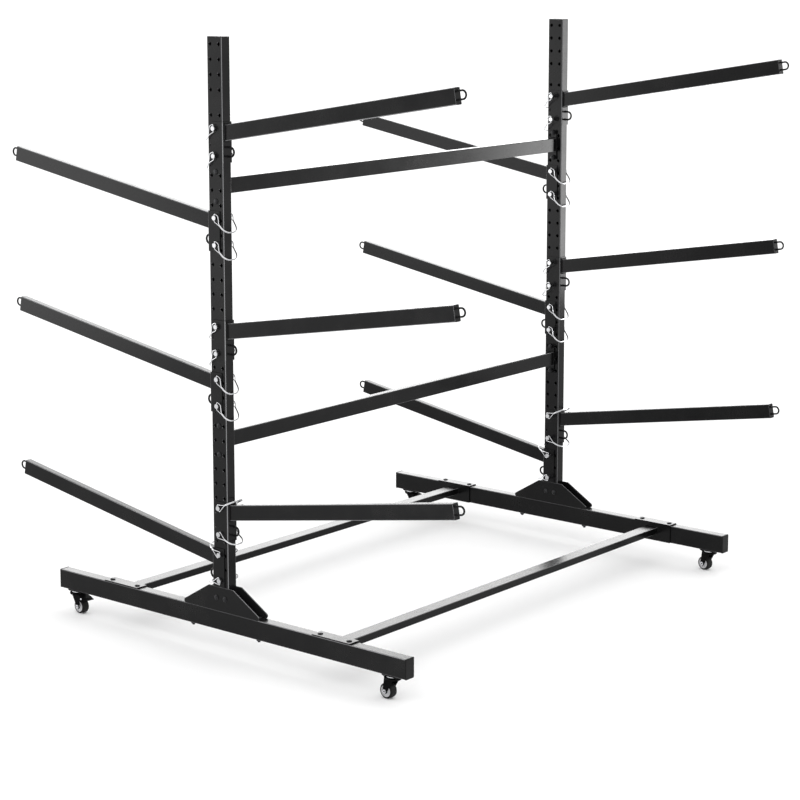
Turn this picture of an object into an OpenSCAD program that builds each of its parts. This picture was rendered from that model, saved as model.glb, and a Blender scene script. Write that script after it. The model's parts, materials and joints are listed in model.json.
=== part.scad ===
// Freestanding double-sided kayak rack on casters: two uprights, six arm levels, wire-lock pins.
// Millimetres, +Z up, origin on the floor under the middle of the rack; +X along the foot beams, +Y to the rear upright.

/* [Frame] */
// centre distance of the front and rear uprights
span = 1828.8; // [1500:0.1:2100]
// height of the upright tops above the foot beams
upright_h = 1862.2; // [1800:0.1:2000]
// upright width along X
upright_w = 63.5; // [60:0.1:66]
// upright depth along Y
upright_d = 38; // [36:0.1:40]
// foot beam length over its end caps
foot_len = 1555; // [1500:0.1:1700]
// foot beam height
beam_h = 65; // [60:0.5:70]
// foot beam width
beam_w = 40; // [39.5:0.1:42]
// floor to the underside of the foot beams
caster_h = 79.5; // [79:0.1:84]
// X position of the two low crossbars
base_bar_x = 472.8; // [400:0.1:560]
// height of the upper crossbar's centre above the foot beams
upper_bar_z = 1391; // [1380:0.5:1400]
// height of the lower crossbar's centre above the foot beams
lower_bar_z = 571; // [560:0.5:580]

/* [Arms] */
// tilt of the arms above level, degrees
arm_tilt = 9.72; // [8:0.01:12]
// arm length from the upright's side to the end plate
arm_len = 932.5; // [700:0.5:1000]
// arm tube height
arm_h = 50.8; // [48:0.1:52]
// arm tube width
arm_w = 25.4; // [24:0.1:27]
// root height of the top right arms above the foot beams
r1 = 1561.5; // [1550:0.5:1575]
// root height of the middle right arms
r2 = 928.2; // [900:0.5:960]
// root height of the bottom right arms
r3 = 333; // [320:0.5:400]
// root height of the top left arms
l1 = 1278.2; // [1260:0.5:1290]
// root height of the middle left arms
l2 = 757.2; // [740:0.5:800]
// root height of the bottom left arms
l3 = 177; // [177:0.5:200]

/* [Locking pins] */
// pin shank diameter
pin_d = 9.5; // [9:0.1:10]
// vertical distance of the two pins of an arm
pin_gap = 87.2; // [84:0.1:90]
// wire diameter of the pin bails
wire_d = 2.4; // [2:0.1:2.6]
// droop of the bails of the upper four arm rows, degrees
droop = 47.5; // [45:0.5:50]
// how much longer the rear upright's pins are, from flange to head
rear_out = 13; // [0:1:18]

/* [Casters] */
// wheel diameter
wheel_d = 50; // [46:1:52]
// wheel width
wheel_w = 28; // [20:1:28]
// trail of the wheel behind the swivel axis
trail = 19; // [16:1:24]
// X position of the swivel axes
caster_x = 710; // [690:1:715]

/* [Hidden] */
$fn = 48;
eps = 0.01;
bt = caster_h + beam_h;              // top of the foot beams
yu = span / 2;                       // upright centre lines at y = -yu and +yu
uw = upright_w / 2;
ud = upright_d / 2;
wall = 2.5;
plate = 3;                           // folded plate thickness
cl = 0.15;                           // fitting gap of brackets round an upright
web_i = uw + cl;                     // inner face of an arm bracket's web
web_o = web_i + plate;
fl_i = ud + cl;                      // inner face of a bracket's flanges
fl_o = fl_i + plate;
lap = 17;                            // flange reach past the upright's centre line
br_h = 130;                          // arm bracket height
br_drop = 30;                        // bracket centre below the arm root
ring_drop = 30;                      // lashing ring below the bracket centre
hole_r = 6.35;                       // rows of holes up the uprights' viewer-side wall
col = 18.5;                          // hole columns beside the centre line
pr = pin_d / 2;
bore = pr + 0.1;                     // pin bores, sliding fit
hd_y = -ud - 9.6;                    // pin head centre in front of the upright's centre
hd_r = 8.2;
tip_y = ud + 32.4;
wr = wire_d / 2;
ring_u = 47.4 - hd_y;                // from the pin head centre to the bail's hook, along the pin
row_z = concat([for (i = [0:3]) 1839 - 47.8 * i], [for (i = [0:31]) 1616.5 - 47.6 * i]);
gus_w = 160;
gus_top = 81.5;
foot_bolt_x = 148;
bar_top = 12.5;                      // low crossbars' top below the beam top
bar_w = 50.5;
bar_h = 25;
sad_w = 78.5;                        // half width of the low crossbars' end brackets
sad_t = 4;
sad_bolt = 60;
tie_w = 25.4;
tie_h = 50.8;
tie_t = 5;                           // crossbar end plates
tie_bolt = 47;
paint = [0.05, 0.05, 0.055];
zinc = [0.8, 0.8, 0.82];
dark = [0.03, 0.03, 0.03];
crown = 27;                          // radius of the casters' swivel crown

// ---------- shared shapes ----------
module rrect(w, h, r) {
  square([w - 2 * r, h], center = true);
  square([w, h - 2 * r], center = true);
  for (sx = [-1, 1], sy = [-1, 1]) translate([sx * (w / 2 - r), sy * (h / 2 - r)]) circle(r);
}

module tube(len, w, h, t, r) {
  difference() {
    linear_extrude(height = len) rrect(w, h, r);
    translate([0, 0, -1]) linear_extrude(height = len + 2) rrect(w - 2 * t, h - 2 * t, max(r - t, 0.6));
  }
}

// a U of round bar in the XZ plane, legs along +X from x = 0
module u_loop(leg, big, r) {
  for (s = [-1, 1]) translate([-1, 0, s * big]) rotate([0, 90, 0]) cylinder(h = leg + 1, r = r);
  translate([leg, 0, 0]) rotate([0, 90, 0]) rotate([90, 0, 0]) rotate_extrude(angle = 180) translate([big, 0]) circle(r);
}

module hex(af, h) { cylinder(h = h, r = af / 2 / cos(30), $fn = 6); }

// hexagon head at z = 0..head, shank down to -len
module bolt(d, len, af, head) {
  hex(af, head);
  translate([0, 0, head - eps]) cylinder(h = 0.8, r1 = af / 2 - 0.3, r2 = af / 2 - 1.2);
  translate([0, 0, -len]) cylinder(h = len + eps, r = d / 2);
}

// low round head at z = 0..h, shank down to -len
module dome_bolt(d, len, r, h) {
  rotate_extrude() polygon([[0, -len], [d / 2, -len], [d / 2, 0], [r, 0], [r, h * 0.22], [r * 0.92, h * 0.52], [r * 0.7, h * 0.78], [r * 0.4, h * 0.94], [0, h]]);
}

module nut(d, af, h) {
  difference() {
    hex(af, h);
    translate([0, 0, -1]) cylinder(h = h + 2, r = d / 2 + 0.05);
  }
}

// ---------- base ----------
module foot_beam(y) {
  translate([0, y, caster_h + beam_h / 2]) difference() {
    translate([-foot_len / 2 + 4, 0, 0]) rotate([0, 90, 0]) tube(foot_len - 8, beam_h, beam_w, wall, 3);
    for (s = [-1, 1]) {
      translate([s * foot_bolt_x, 0, -beam_h]) cylinder(h = 2 * beam_h, r = 5.3);
      for (k = [-1, 1]) translate([s * base_bar_x + k * sad_bolt, 0, beam_h / 2 - 6]) cylinder(h = 12, r = 5.3);
      for (kx = [-1, 1], ky = [-1, 1]) translate([s * caster_x + kx * 24, ky * 13, -beam_h / 2 - 6]) cylinder(h = 12, r = 3.3);
    }
  }
}

// plastic cap closing a foot beam's end: a 4 mm plate with a slightly proud lip and a plug inside the tube
module beam_cap(s, y) {
  translate([s * (foot_len / 2 - 4), y, caster_h + beam_h / 2]) rotate([0, s * 90, 0]) {
    translate([0, 0, 0.2]) linear_extrude(height = 2.8) rrect(beam_h + 1.2, beam_w + 1.2, 3.6);
    translate([0, 0, 2.9]) linear_extrude(height = 1.1) rrect(beam_h - 1.4, beam_w - 1.4, 3);
    translate([0, 0, -18]) linear_extrude(height = 18.3) rrect(beam_h - 2 * wall - 0.4, beam_w - 2 * wall - 0.4, 1.5);
  }
}

module upright_cap(y) {
  translate([0, y, bt + upright_h]) {
    translate([0, 0, -1.8]) linear_extrude(height = 1.8) rrect(upright_w, upright_d, 3);
    translate([0, 0, -16]) linear_extrude(height = 14.3) rrect(upright_w - 2 * wall - 0.4, upright_d - 2 * wall - 0.4, 1.5);
  }
}

// low crossbar with an angle bracket welded to each end
module base_bar(x) {
  len = span - beam_w - 2 * sad_t - 2 * cl;
  difference() {
    union() {
      translate([x, -len / 2, bt - bar_top - bar_h / 2]) rotate([-90, 0, 0]) tube(len, bar_w, bar_h, 2, 2.5);
      for (s = [-1, 1]) translate([x, s * yu, 0]) scale([1, s, 1]) {
        translate([-sad_w, -beam_w / 2 - cl - sad_t, bt - beam_h]) cube([2 * sad_w, sad_t, beam_h + cl + sad_t]);
        translate([-sad_w, -beam_w / 2 - cl - sad_t, bt + cl]) cube([2 * sad_w, beam_w + cl + sad_t, sad_t]);
      }
    }
    for (s = [-1, 1], k = [-1, 1]) translate([x + k * sad_bolt, s * yu, bt - 2]) cylinder(h = 12, r = 5.3);
  }
}

// folded U-shaped foot that holds the bottom of an upright
module foot_flange() {
  polygon([[-gus_w, 0], [gus_w, 0], [gus_w, 8], [gus_w + 4.13, 14.85], [54, gus_top], [-54, gus_top], [-gus_w - 4.13, 14.85], [-gus_w, 8]]);
  for (s = [-1, 1]) translate([s * gus_w, 8]) circle(8);
}

module foot_channel(y) {
  translate([0, y, bt]) difference() {
    union() {
      translate([-gus_w - 4, -fl_o + 1, 0]) cube([2 * gus_w + 8, 2 * fl_o - 2, plate]);
      for (s = [-1, 1]) translate([0, s * (fl_i + plate / 2) + plate / 2, 0]) rotate([90, 0, 0]) linear_extrude(height = plate) foot_flange();
    }
    for (s = [-1, 1]) {
      translate([s * foot_bolt_x, 0, -1]) cylinder(h = plate + 2, r = 5.3);
      translate([s * 19, 0, 44]) rotate([90, 0, 0]) cylinder(h = 60, r = 5.3, center = true);
    }
  }
}

module upright(y, arms) {
  translate([0, y, bt]) difference() {
    translate([0, 0, plate]) tube(upright_h - plate - 2, upright_w, upright_d, wall, 3);
    for (z = row_z, s = [-1, 1]) translate([s * col, -ud - 1, z]) rotate([-90, 0, 0]) cylinder(h = wall + 2, r = hole_r);
    for (z = arms, s = [-1, 1]) translate([0, 0, z - br_drop + s * pin_gap / 2]) rotate([90, 0, 0]) cylinder(h = 60, r = bore, center = true);
    for (z = [upper_bar_z, lower_bar_z], s = [-1, 1]) translate([0, 0, z + s * tie_bolt]) rotate([90, 0, 0]) cylinder(h = 60, r = 5.3, center = true);
    for (s = [-1, 1]) translate([s * 19, 0, 44]) rotate([90, 0, 0]) cylinder(h = 60, r = 5.3, center = true);
  }
}

module tie_bar(z) {
  len = span - upright_d - 2 * cl;
  difference() {
    union() {
      translate([0, -len / 2 + 1, bt + z]) rotate([-90, 0, 0]) tube(len - 2, tie_w, tie_h, 2, 2.5);
      for (s = [-1, 1]) translate([-tie_w / 2, s * (len / 2 - tie_t / 2) - tie_t / 2, bt + z - tie_bolt - 8]) cube([tie_w, tie_t, 2 * tie_bolt + 16]);
    }
    for (s = [-1, 1]) translate([0, 0, bt + z + s * tie_bolt]) rotate([90, 0, 0]) cylinder(h = span, r = 5.3, center = true);
  }
}

// ---------- arms ----------
// one arm for the right side, origin on the upright's centre line at the height of the arm root
module arm_solid() {
  translate([0, 0, -br_drop]) difference() {
    translate([0, 0, -br_h / 2]) linear_extrude(height = br_h) difference() {
      union() {
        translate([-lap, -fl_o]) square([web_o + lap - 4, 2 * fl_o]);
        translate([0, -fl_o + 4]) square([web_o, 2 * fl_o - 8]);
        for (s = [-1, 1]) translate([web_o - 4, s * (fl_o - 4)]) circle(4);
      }
      translate([-lap - 1, -fl_i]) square([web_i + lap + 1, 2 * fl_i]);
    }
    for (s = [-1, 1]) translate([0, 0, s * pin_gap / 2]) rotate([90, 0, 0]) cylinder(h = 60, r = bore, center = true);
  }
  difference() {
    translate([uw, 0, 0]) rotate([0, -arm_tilt, 0]) {
      translate([-12, 0, 0]) rotate([0, 90, 0]) tube(arm_len + 12, arm_h, arm_w, 2, 3);
      translate([arm_len - 1, 0, 0]) rotate([0, 90, 0]) linear_extrude(height = 4.5) rrect(arm_h, arm_w, 3);
      translate([arm_len + 3.5, 0, 1.3]) u_loop(17.2, 12.9, 3.1);
    }
    translate([-60, -30, -60]) cube([60 + web_o - 1, 60, 120]);
    translate([web_o, -30, 25]) cube([1.2, 60, 3]);
  }
  translate([web_o, 0, -br_drop - ring_drop]) u_loop(13, 14.7, 3.4);
}

module arm_at(side, y, z) {
  translate([0, y, bt + z]) scale([side, 1, 1]) arm_solid();
}

// ---------- locking pins and their wire bails ----------
// a pin along Y, origin on the upright's centre line; a is the direction of the bail's hinge axis from +Z, degrees
module lock_pin(a, y) {
  hd = hd_y - out(y);
  rotate([-90, 0, 0]) difference() {
    rotate_extrude() polygon([[0, hd - 4], [hd_r - 1.2, hd - 4], [hd_r, hd - 2.8], [hd_r, hd + 2.8], [hd_r - 1.2, hd + 4], [6.2, hd + 4],
      [6.2, -fl_o - 0.3], [pr, -fl_o - 0.3], [pr, tip_y - 1.5], [pr - 1.5, tip_y], [0, tip_y]]);
    for (s = [0, 180]) rotate([0, 0, a]) translate([0, 0, hd]) rotate([90 + s, 0, 0]) translate([0, 0, 3.7]) cylinder(h = 6, r = wr + 0.1);
  }
}

// the rear upright's pins and bails are longer by rear_out
function out(y) = y > 0 ? rear_out : 0;
function longer(p, o) = [for (q = p) q[1] > 35 ? q + [0, o, 0] : q];

function unit(v) = v / norm(v);

// points round the corner p of a bent wire coming from a and leaving to b, with bend radius r
function fillet(a, p, b, r, n) = let(
  v1 = unit(a - p), v2 = unit(b - p), h = acos(v1 * v2) / 2,
  c = p + unit(v1 + v2) * r / sin(h),
  t1 = p + v1 * r / tan(h) - c, t2 = p + v2 * r / tan(h) - c,
  a1 = atan2(t1[1], t1[0]), d0 = atan2(t2[1], t2[0]) - a1,
  d = d0 > 180 ? d0 - 360 : d0 < -180 ? d0 + 360 : d0
) [for (i = [0:n]) c + r * [cos(a1 + d * i / n), sin(a1 + d * i / n)]];

// a bail's bow: [distance along the pin from the head centre, reach]
bow_0 = [2, 29];
bow_1 = [3, 62.5];
bow_2 = [66, 62];
bow_3 = [ring_u, 0];
bow = concat(fillet(bow_0, bow_1, bow_2, 26, 5), fillet(bow_1, bow_2, bow_3, 28, 5));
strand = wr + 0.15;                  // half the spacing of the two strands side by side
over = ring_u + 6.4;                 // where the bail crosses behind the pin's tip
function rev(p) = [for (i = [len(p) - 1:-1:0]) p[i]];
function tip_u(b) = bow_2[0] + (bow_3[0] - bow_2[0]) * (bow_2[1] - b) / bow_2[1];

// [x, y, z] of a point given by its distance along the pin u, its reach b at d degrees above +X, and its side offset n
function pt(u, b, n, d) = [b * cos(d) - n * sin(d), u, b * sin(d) + n * cos(d)];

// one strand of a bail hinged across its own plane; s = -1 or 1 is the strand's side
function strand_across(s, d) = concat(
  [for (q = [[0, 0, 3.9], [0, 0, 10.2], [0, 1.1, 11.4], [0, 3, 11.3], [0, 26, 2.3], [0.8, 30, strand]]) pt(q[0], q[1], q[2] * s, d)],
  [for (q = bow) pt(q[0], q[1], s * strand, d)],
  [for (q = [[tip_u(20), 20, strand], [tip_u(14.5), 14.5, 2.4], [tip_u(9.5), 9.5, 5.3], [ring_u - 0.7, 5, 6.7], [ring_u + 0.5, 0.5, 6.9],
    [ring_u + 3.4, -2.4, 6.2], [ring_u + 5.9, -3.6, 3.5]]) pt(q[0], q[1], q[2] * s, d)]);

// the two strands of a bail hinged on an upright axis through the pin's head
function strand_over() = concat(
  [[0, 0, 3.9], [0, 0, 10.6], [1.2, 0, 12], [3.2, 0, 12.2], [12.5, 0, 8.2], [15.2, 0, 5.6], [16.6, 0, 2]],
  [for (q = [[0, 27.5, 1.9], [0.8, 30.5, strand]]) pt(q[0], q[1], q[2], -droop)],
  [for (q = bow) pt(q[0], q[1], strand, -droop)],
  [for (q = [[tip_u(20), 20, strand], [tip_u(15), 15, 2.2]]) pt(q[0], q[1], q[2], -droop)],
  [[11, ring_u - 1.5, -4], [9.6, ring_u - 1.2, 1.2], [6.6, ring_u - 0.8, 5.2], [2.5, ring_u - 0.2, 6.9], [0, ring_u + 0.6, 7],
   [-1.6, ring_u + 3.4, 6.2], [-2.8, ring_u + 5.9, 3.5]]);
function strand_under() = concat(
  [[0, 0, -3.9], [0, 0, -10.6], [1, 0, -12.4], [3, 0, -13.6]],
  [for (q = [[0, 27.5, -1.9], [0.8, 30.5, -strand]]) pt(q[0], q[1], q[2], -droop)],
  [for (q = bow) pt(q[0], q[1], -strand, -droop)],
  [for (q = [[tip_u(20), 20, -strand], [tip_u(15), 15, -2.4]]) pt(q[0], q[1], q[2], -droop)],
  [[4.5, ring_u - 1.2, -10.2], [1.8, ring_u - 0.5, -7.8], [0.3, ring_u + 0.6, -7], [-1.6, ring_u + 3.4, -6.2], [-2.8, ring_u + 5.9, -3.5]]);

function tangent(p, i) = unit(p[min(i + 1, len(p) - 1)] - p[max(i - 1, 0)]);
function carry(n, t) = unit(n - t * (n * t));
function normals(p, i = 0, acc = []) = i == len(p) ? acc :
  normals(p, i + 1, concat(acc, [carry(i == 0 ? [0, 1, 0] : acc[i - 1], tangent(p, i))]));

// a round wire with k sides along the points p
module wire(p, r, k = 8) {
  n = normals(p);
  m = len(p);
  pts = [for (i = [0:m - 1], j = [0:k - 1]) let(t = tangent(p, i), a = 360 * j / k) p[i] + r * (cos(a) * n[i] + sin(a) * cross(t, n[i]))];
  sides = [for (i = [0:m - 2], j = [0:k - 1]) let(q = (j + 1) % k) [i * k + j, (i + 1) * k + j, (i + 1) * k + q, i * k + q]];
  polyhedron(pts, concat(sides, [[for (j = [0:k - 1]) j]], [[for (j = [k - 1:-1:0]) (m - 1) * k + j]]));
}

// bail hinged on an upright axis through the pin head
module bail_upright(y) {
  translate([0, hd_y - out(y), 0]) wire(longer(concat(strand_over(), [[-3.2, over, 0]], rev(strand_under())), out(y)), wr);
}

// bail hinged across its own plane, reach d degrees above +X
module bail_across(d, y) {
  translate([0, hd_y - out(y), 0]) wire(longer(concat(strand_across(1, d), [pt(over, -4, 0, d)], rev(strand_across(-1, d))), out(y)), wr);
}

module pins_at(y, z, a1, a2) {
  translate([0, y, bt + z - br_drop + pin_gap / 2]) lock_pin(a1, y);
  translate([0, y, bt + z - br_drop - pin_gap / 2]) lock_pin(a2, y);
}

module bails_at(side, y, z) {
  for (s = [-1, 1]) translate([0, y, bt + z - br_drop + s * pin_gap / 2]) scale([side, 1, 1]) bail_upright(y);
}

module bail_low(side, y, z, s, d) {
  translate([0, y, bt + z - br_drop + s * pin_gap / 2]) scale([side, 1, 1]) bail_across(d, y);
}

// ---------- casters ----------
// fixed top plate with the upper race and the swivel rivet, origin on the floor under the swivel axis
module caster_top() {
  difference() {
    translate([0, 0, caster_h - 3]) linear_extrude(height = 3 - 0.05) rrect(64, 39, 4);
    for (kx = [-1, 1], ky = [-1, 1]) translate([kx * 24, ky * 13, caster_h - 4]) cylinder(h = 5, r = 3.3);
  }
  translate([0, 0, caster_h - 5.5]) cylinder(h = 3, r = 21);
  translate([0, 0, caster_h - 8]) cylinder(h = 3, r1 = 18.5, r2 = 21);
  translate([0, 0, caster_h - 15.5]) cylinder(h = 9, r = 5);
  translate([0, 0, caster_h - 17.5]) cylinder(h = 3, r1 = 6.5, r2 = 8.5);
}

// fork with its axle, wheel trailing along +X, origin on the floor under the swivel axis; brake adds a toe pedal
module fork(brake = false) {
  zc = caster_h - 14;                // underside of the crown
  yi = wheel_w / 2 + 1.2;
  az = wheel_d / 2;
  difference() {
    union() {
      translate([0, 0, zc]) cylinder(h = 2.5, r = crown);
      translate([-12, -yi - 2.5, zc]) cube([34, 2 * yi + 5, 2.5]);
      translate([0, 0, zc + 2]) cylinder(h = caster_h - 8.3 - zc - 2, r = 15);
    }
    translate([0, 0, zc - 1]) cylinder(h = 12, r = 5.05);
  }
  difference() {
    translate([0, 0, zc + 2]) cylinder(h = 3.2, r1 = crown, r2 = crown + 1.5);
    translate([0, 0, zc + 1]) cylinder(h = 6, r = crown - 1.5);
  }
  if (brake) {
    // hood over the wheel with a toe pad, pivoting on a cross pin
    rotate([90, 0, 0]) linear_extrude(height = 2 * yi + 8.6, center = true)
      polygon([[18, zc], [26, zc - 1.5], [50, zc - 9.5], [58, zc - 13.5], [62, zc - 13.9], [62, zc - 11.4], [59, zc - 11], [51, zc - 6.8], [26, zc + 1.2], [18, zc + 2.4]]);
    for (s = [-1, 1]) translate([0, s * (yi + 3.3) + 1, 0]) rotate([90, 0, 0]) linear_extrude(height = 2)
      polygon([[20, zc + 1], [26, zc], [50, zc - 8], [46, zc - 16], [26, zc - 20], [20, zc - 14]]);
    translate([41, 0, zc - 8.8]) rotate([90, 0, 0]) for (s = [-1, 1]) translate([0, 0, s * (yi + 3.8) - 1.7]) cylinder(h = 3.4, r = 3);
  }
  for (s = [-1, 1]) translate([0, s * (yi + 1.25) + 1.25, 0]) rotate([90, 0, 0]) linear_extrude(height = 2.5) {
    polygon([[-14, zc + 2], [22, zc + 2], [trail + 8.2, az + 3], [trail - 7, az - 4.6], [trail - 12, az + 8]]);
    translate([trail, az]) circle(8.5);
  }
  translate([trail, 0, az]) rotate([90, 0, 0]) {
    translate([0, 0, -yi - 5.5]) cylinder(h = 2 * yi + 11, r = 4);
    for (s = [-1, 1]) translate([0, 0, s * (yi + 4) - 1.75]) hex(12, 3.5);
  }
}

module wheel() {
  hw = wheel_w / 2;
  r = wheel_d / 2;
  translate([trail, 0, r]) rotate([90, 0, 0]) {
    rotate_extrude() polygon([[4.05, -hw - 0.6], [8, -hw - 0.6], [9, -hw + 3], [16, -hw + 3.5], [17, -hw + 0.6], [r - 4.1, -hw + 0.6],
      [r - 4.1, hw - 0.6], [17, hw - 0.6], [16, hw - 3.5], [9, hw - 3], [8, hw + 0.6], [4.05, hw + 0.6]]);
    rotate_extrude() polygon([[r - 4, -hw + 0.8], [r - 2.2, -hw + 0.8], [r - 0.6, -hw + 2.6], [r, -hw + 5.5], [r, hw - 5.5], [r - 0.6, hw - 2.6], [r - 2.2, hw - 0.8], [r - 4, hw - 0.8]]);
  }
}

module caster_place(sx, sy) { translate([sx * caster_x, sy * yu, 0]) children(); }

// ---------- nodes ----------
module foot_beam_front() { color(paint) { foot_beam(-yu); } }
module foot_beam_rear() { color(paint) { foot_beam(yu); } }
module end_caps() { color(dark) { for (s = [-1, 1], t = [-1, 1]) beam_cap(s, t * yu); for (t = [-1, 1]) upright_cap(t * yu); } }
module base_crossbar_left() { color(paint) { base_bar(-base_bar_x); } }
module base_crossbar_right() { color(paint) { base_bar(base_bar_x); } }
module upright_feet() { color(paint) { for (t = [-1, 1]) foot_channel(t * yu); } }
module upright_front() { color(paint) { upright(-yu, [r1, r2, r3, l1, l2, l3]); } }
module upright_rear() { color(paint) { upright(yu, [r1, r2, r3, l1, l2, l3]); } }
module upper_crossbar() { color(paint) { tie_bar(upper_bar_z); } }
module lower_crossbar() { color(paint) { tie_bar(lower_bar_z); } }
module bolts_and_nuts() { color(dark) { 
  for (t = [-1, 1]) {
    for (s = [-1, 1]) {
      for (k = [-1, 1]) translate([s * base_bar_x + k * sad_bolt, t * yu, bt + cl + sad_t + 0.05]) dome_bolt(10, 14, 9, 4.2);
      translate([s * foot_bolt_x, t * yu, bt + plate + 0.05]) dome_bolt(10, beam_h + 16, 9, 4.2);
      translate([s * foot_bolt_x, t * yu, caster_h - 8.1]) nut(10, 16, 8);
      translate([s * 19, t * yu - fl_o - 0.05, bt + 44]) rotate([90, 0, 0]) dome_bolt(10, 2 * fl_o + 14, 9, 4.2);
      translate([s * 19, t * yu + fl_o + 0.05, bt + 44]) rotate([-90, 0, 0]) nut(10, 16, 8);
      for (kx = [-1, 1], ky = [-1, 1]) translate([s * caster_x + kx * 24, t * yu + ky * 13, caster_h - 3.05]) rotate([180, 0, 0]) bolt(6, 12, 9, 2.6);
    }
    for (z = [upper_bar_z, lower_bar_z], s = [-1, 1]) translate([0, t * yu, bt + z + s * tie_bolt]) scale([1, -t, 1]) {
      translate([0, -ud - 0.05, 0]) rotate([90, 0, 0]) dome_bolt(10, upright_d + tie_t + cl + 13, 9, 4.2);
      translate([0, ud + cl + tie_t + 0.05, 0]) rotate([-90, 0, 0]) nut(10, 16, 8);
    }
  }
  } }
module caster_plates() { color(dark) { for (s = [-1, 1], t = [-1, 1]) caster_place(s, t) caster_top(); } }
module arm_fr_top() { color(paint) { arm_at(1, -yu, r1); } }
module arm_fr_mid() { color(paint) { arm_at(1, -yu, r2); } }
module arm_fr_low() { color(paint) { arm_at(1, -yu, r3); } }
module arm_fl_top() { color(paint) { arm_at(-1, -yu, l1); } }
module arm_fl_mid() { color(paint) { arm_at(-1, -yu, l2); } }
module arm_fl_low() { color(paint) { arm_at(-1, -yu, l3); } }
module arm_rr_top() { color(paint) { arm_at(1, yu, r1); } }
module arm_rr_mid() { color(paint) { arm_at(1, yu, r2); } }
module arm_rr_low() { color(paint) { arm_at(1, yu, r3); } }
module arm_rl_top() { color(paint) { arm_at(-1, yu, l1); } }
module arm_rl_mid() { color(paint) { arm_at(-1, yu, l2); } }
module arm_rl_low() { color(paint) { arm_at(-1, yu, l3); } }
module pins_fr_top() { color(zinc) { pins_at(-yu, r1, 0, 0); } }
module pins_fr_mid() { color(zinc) { pins_at(-yu, r2, 0, 0); } }
module pins_fr_low() { color(zinc) { pins_at(-yu, r3, -27, 27); } }
module pins_fl_top() { color(zinc) { pins_at(-yu, l1, 0, 0); } }
module pins_fl_mid() { color(zinc) { pins_at(-yu, l2, 0, 0); } }
module pins_fl_low() { color(zinc) { pins_at(-yu, l3, 27, -13); } }
module pins_rr_top() { color(zinc) { pins_at(yu, r1, 0, 0); } }
module pins_rr_mid() { color(zinc) { pins_at(yu, r2, 0, 0); } }
module pins_rr_low() { color(zinc) { pins_at(yu, r3, -27, 27); } }
module pins_rl_top() { color(zinc) { pins_at(yu, l1, 0, 0); } }
module pins_rl_mid() { color(zinc) { pins_at(yu, l2, 0, 0); } }
module pins_rl_low() { color(zinc) { pins_at(yu, l3, 27, -13); } }
module wires_fr_top() { color(zinc) { bails_at(-1, -yu, r1); } }
module wires_fr_mid() { color(zinc) { bails_at(-1, -yu, r2); } }
module wire_fr_low_upper() { color(zinc) { bail_low(1, -yu, r3, 1, 27); } }
module wire_fr_low_lower() { color(zinc) { bail_low(1, -yu, r3, -1, -27); } }
module wires_fl_top() { color(zinc) { bails_at(1, -yu, l1); } }
module wires_fl_mid() { color(zinc) { bails_at(1, -yu, l2); } }
module wire_fl_low_upper() { color(zinc) { bail_low(-1, -yu, l3, 1, 27); } }
module wire_fl_low_lower() { color(zinc) { bail_low(-1, -yu, l3, -1, -13); } }
module wires_rr_top() { color(zinc) { bails_at(-1, yu, r1); } }
module wires_rr_mid() { color(zinc) { bails_at(-1, yu, r2); } }
module wire_rr_low_upper() { color(zinc) { bail_low(1, yu, r3, 1, 27); } }
module wire_rr_low_lower() { color(zinc) { bail_low(1, yu, r3, -1, -27); } }
module wires_rl_top() { color(zinc) { bails_at(1, yu, l1); } }
module wires_rl_mid() { color(zinc) { bails_at(1, yu, l2); } }
module wire_rl_low_upper() { color(zinc) { bail_low(-1, yu, l3, 1, 27); } }
module wire_rl_low_lower() { color(zinc) { bail_low(-1, yu, l3, -1, -13); } }
module caster_fork_fr() { color(dark) { caster_place(1, -1) rotate([0, 0, 178]) fork(); } }
module caster_fork_fl() { color(dark) { caster_place(-1, -1) rotate([0, 0, -5]) fork(true); } }
module caster_fork_rr() { color(dark) { caster_place(1, 1) rotate([0, 0, 171]) fork(); } }
module caster_fork_rl() { color(dark) { caster_place(-1, 1) rotate([0, 0, -2]) fork(true); } }
module wheel_fr() { color(dark) { caster_place(1, -1) rotate([0, 0, 178]) wheel(); } }
module wheel_fl() { color(dark) { caster_place(-1, -1) rotate([0, 0, -5]) wheel(); } }
module wheel_rr() { color(dark) { caster_place(1, 1) rotate([0, 0, 171]) wheel(); } }
module wheel_rl() { color(dark) { caster_place(-1, 1) rotate([0, 0, -2]) wheel(); } }

foot_beam_front();
foot_beam_rear();
end_caps();
base_crossbar_left();
base_crossbar_right();
upright_feet();
upright_front();
upright_rear();
upper_crossbar();
lower_crossbar();
bolts_and_nuts();
caster_plates();
arm_fr_top();
arm_fr_mid();
arm_fr_low();
arm_fl_top();
arm_fl_mid();
arm_fl_low();
arm_rr_top();
arm_rr_mid();
arm_rr_low();
arm_rl_top();
arm_rl_mid();
arm_rl_low();
pins_fr_top();
pins_fr_mid();
pins_fr_low();
pins_fl_top();
pins_fl_mid();
pins_fl_low();
pins_rr_top();
pins_rr_mid();
pins_rr_low();
pins_rl_top();
pins_rl_mid();
pins_rl_low();
wires_fr_top();
wires_fr_mid();
wire_fr_low_upper();
wire_fr_low_lower();
wires_fl_top();
wires_fl_mid();
wire_fl_low_upper();
wire_fl_low_lower();
wires_rr_top();
wires_rr_mid();
wire_rr_low_upper();
wire_rr_low_lower();
wires_rl_top();
wires_rl_mid();
wire_rl_low_upper();
wire_rl_low_lower();
caster_fork_fr();
caster_fork_fl();
caster_fork_rr();
caster_fork_rl();
wheel_fr();
wheel_fl();
wheel_rr();
wheel_rl();
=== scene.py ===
import json
import math
import random

import bmesh
import bpy
from mathutils import Matrix, Vector

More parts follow.
